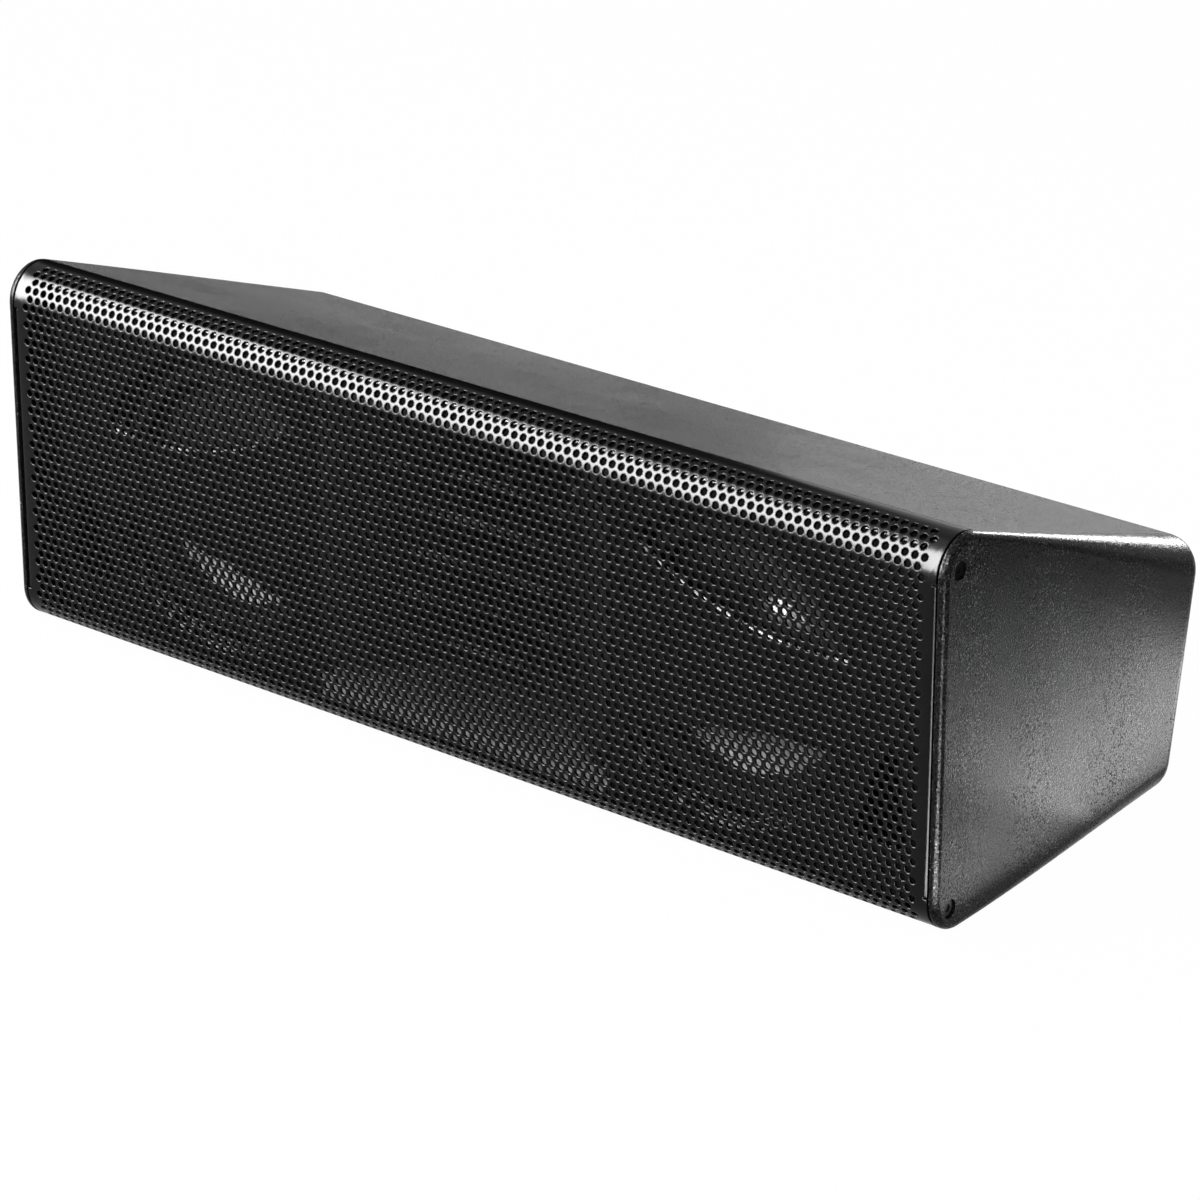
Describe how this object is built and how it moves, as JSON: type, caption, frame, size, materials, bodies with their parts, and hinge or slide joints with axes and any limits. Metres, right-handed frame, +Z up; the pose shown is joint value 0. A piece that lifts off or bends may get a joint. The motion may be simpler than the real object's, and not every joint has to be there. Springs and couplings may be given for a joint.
{
  "type": "loudspeaker",
  "caption": "Compact wedge-shaped loudspeaker: black cast cabinet, wrap-round perforated grille over woofers, reflex ports and a vaned tweeter waveguide, for music and speech.",
  "frame": {"origin": "centre of the loudspeaker's outline on the surface that it stands on", "axes": "+X along the width, to the right seen from the front; the grille faces -Y; +Z up"},
  "size_m": [0.436, 0.165, 0.1449],
  "materials": {
    "shell_coating": "fine-textured black powder coat on die-cast metal, satin",
    "grille_coating": "semi-gloss black powder coat on perforated sheet",
    "moulding": "black fine-grained moulding",
    "horn_moulding": "black satin moulding",
    "black_screw": "black oxide",
    "seal_foam": "closed-cell black foam",
    "insert_brass": "turned",
    "damping_foam": "open-cell grey foam",
    "basket": "black painted casting",
    "surround_rubber": "matt",
    "cone_pulp": "coated pulp",
    "cap": "coated pulp",
    "copper_winding": "enamelled copper wire",
    "spider_cloth": "impregnated cotton",
    "plated_steel": "zinc plated",
    "ferrite": "sintered ferrite",
    "dome_cloth": "coated cloth",
    "panel_coating": "black anodised sheet",
    "terminal_moulding": "black terminal moulding",
    "board_laminate": "green solder mask",
    "capacitor_film": "yellow wrap",
    "resistor_ceramic": "white cement"
  },
  "bodies": {
    "cabinet": {"baffle_gasket": "seal_foam", "baffle_screws": "black_screw", "board_screws": "plated_steel", "board_standoffs": "insert_brass", "cabinet_shell": "shell_coating", "crossover_board": "board_laminate", "crossover_capacitors": "capacitor_film", "crossover_inductors": "copper_winding", "crossover_resistors": "resistor_ceramic", "front_baffle": "moulding", "grille": "grille_coating", "grille_corner_blocks": "moulding", "grille_screws": "black_screw", "left_damping_pad": "damping_foam", "left_woofer_frame": "basket", "left_woofer_gasket": "seal_foam", "left_woofer_magnet": "ferrite", "left_woofer_screws": "plated_steel", "left_woofer_spider": "spider_cloth", "left_woofer_surround": "surround_rubber", "left_woofer_top_plate": "plated_steel", "left_woofer_yoke": "plated_steel", "lower_tweeter_dome": "dome_cloth", "lower_tweeter_faceplate": "moulding", "lower_tweeter_motor": "ferrite", "lower_tweeter_screws": "plated_steel", "mounting_inserts": "insert_brass", "right_damping_pad": "damping_foam", "right_woofer_frame": "basket", "right_woofer_gasket": "seal_foam", "right_woofer_magnet": "ferrite", "right_woofer_screws": "plated_steel", "right_woofer_spider": "spider_cloth", "right_woofer_surround": "surround_rubber", "right_woofer_top_plate": "plated_steel", "right_woofer_yoke": "plated_steel", "terminal_block": "terminal_moulding", "terminal_clamp_screws": "plated_steel", "terminal_gasket": "seal_foam", "terminal_plate": "panel_coating", "terminal_plate_screws": "black_screw", "upper_tweeter_dome": "dome_cloth", "upper_tweeter_faceplate": "moulding", "upper_tweeter_motor": "ferrite", "upper_tweeter_screws": "plated_steel", "waveguide": "horn_moulding", "waveguide_screws": "black_screw"},
    "left_diaphragm": {"left_woofer_cone": "cone_pulp", "left_woofer_dust_cap": "cap", "left_woofer_voice_coil": "copper_winding"},
    "right_diaphragm": {"right_woofer_cone": "cone_pulp", "right_woofer_dust_cap": "cap", "right_woofer_voice_coil": "copper_winding"}
  },
  "joints": [
    {"name": "left_cone_travel", "type": "slide", "parent": "cabinet", "child": "left_diaphragm", "axis": [0, -1, 0], "range_m": [-0.0035, 0.0035], "stiffness_N_per_m": 1500, "deforming": ["left_woofer_surround", "left_woofer_spider"]},
    {"name": "right_cone_travel", "type": "slide", "parent": "cabinet", "child": "right_diaphragm", "axis": [0, -1, 0], "range_m": [-0.0035, 0.0035], "stiffness_N_per_m": 1500, "deforming": ["right_woofer_surround", "right_woofer_spider"]}
  ]
}
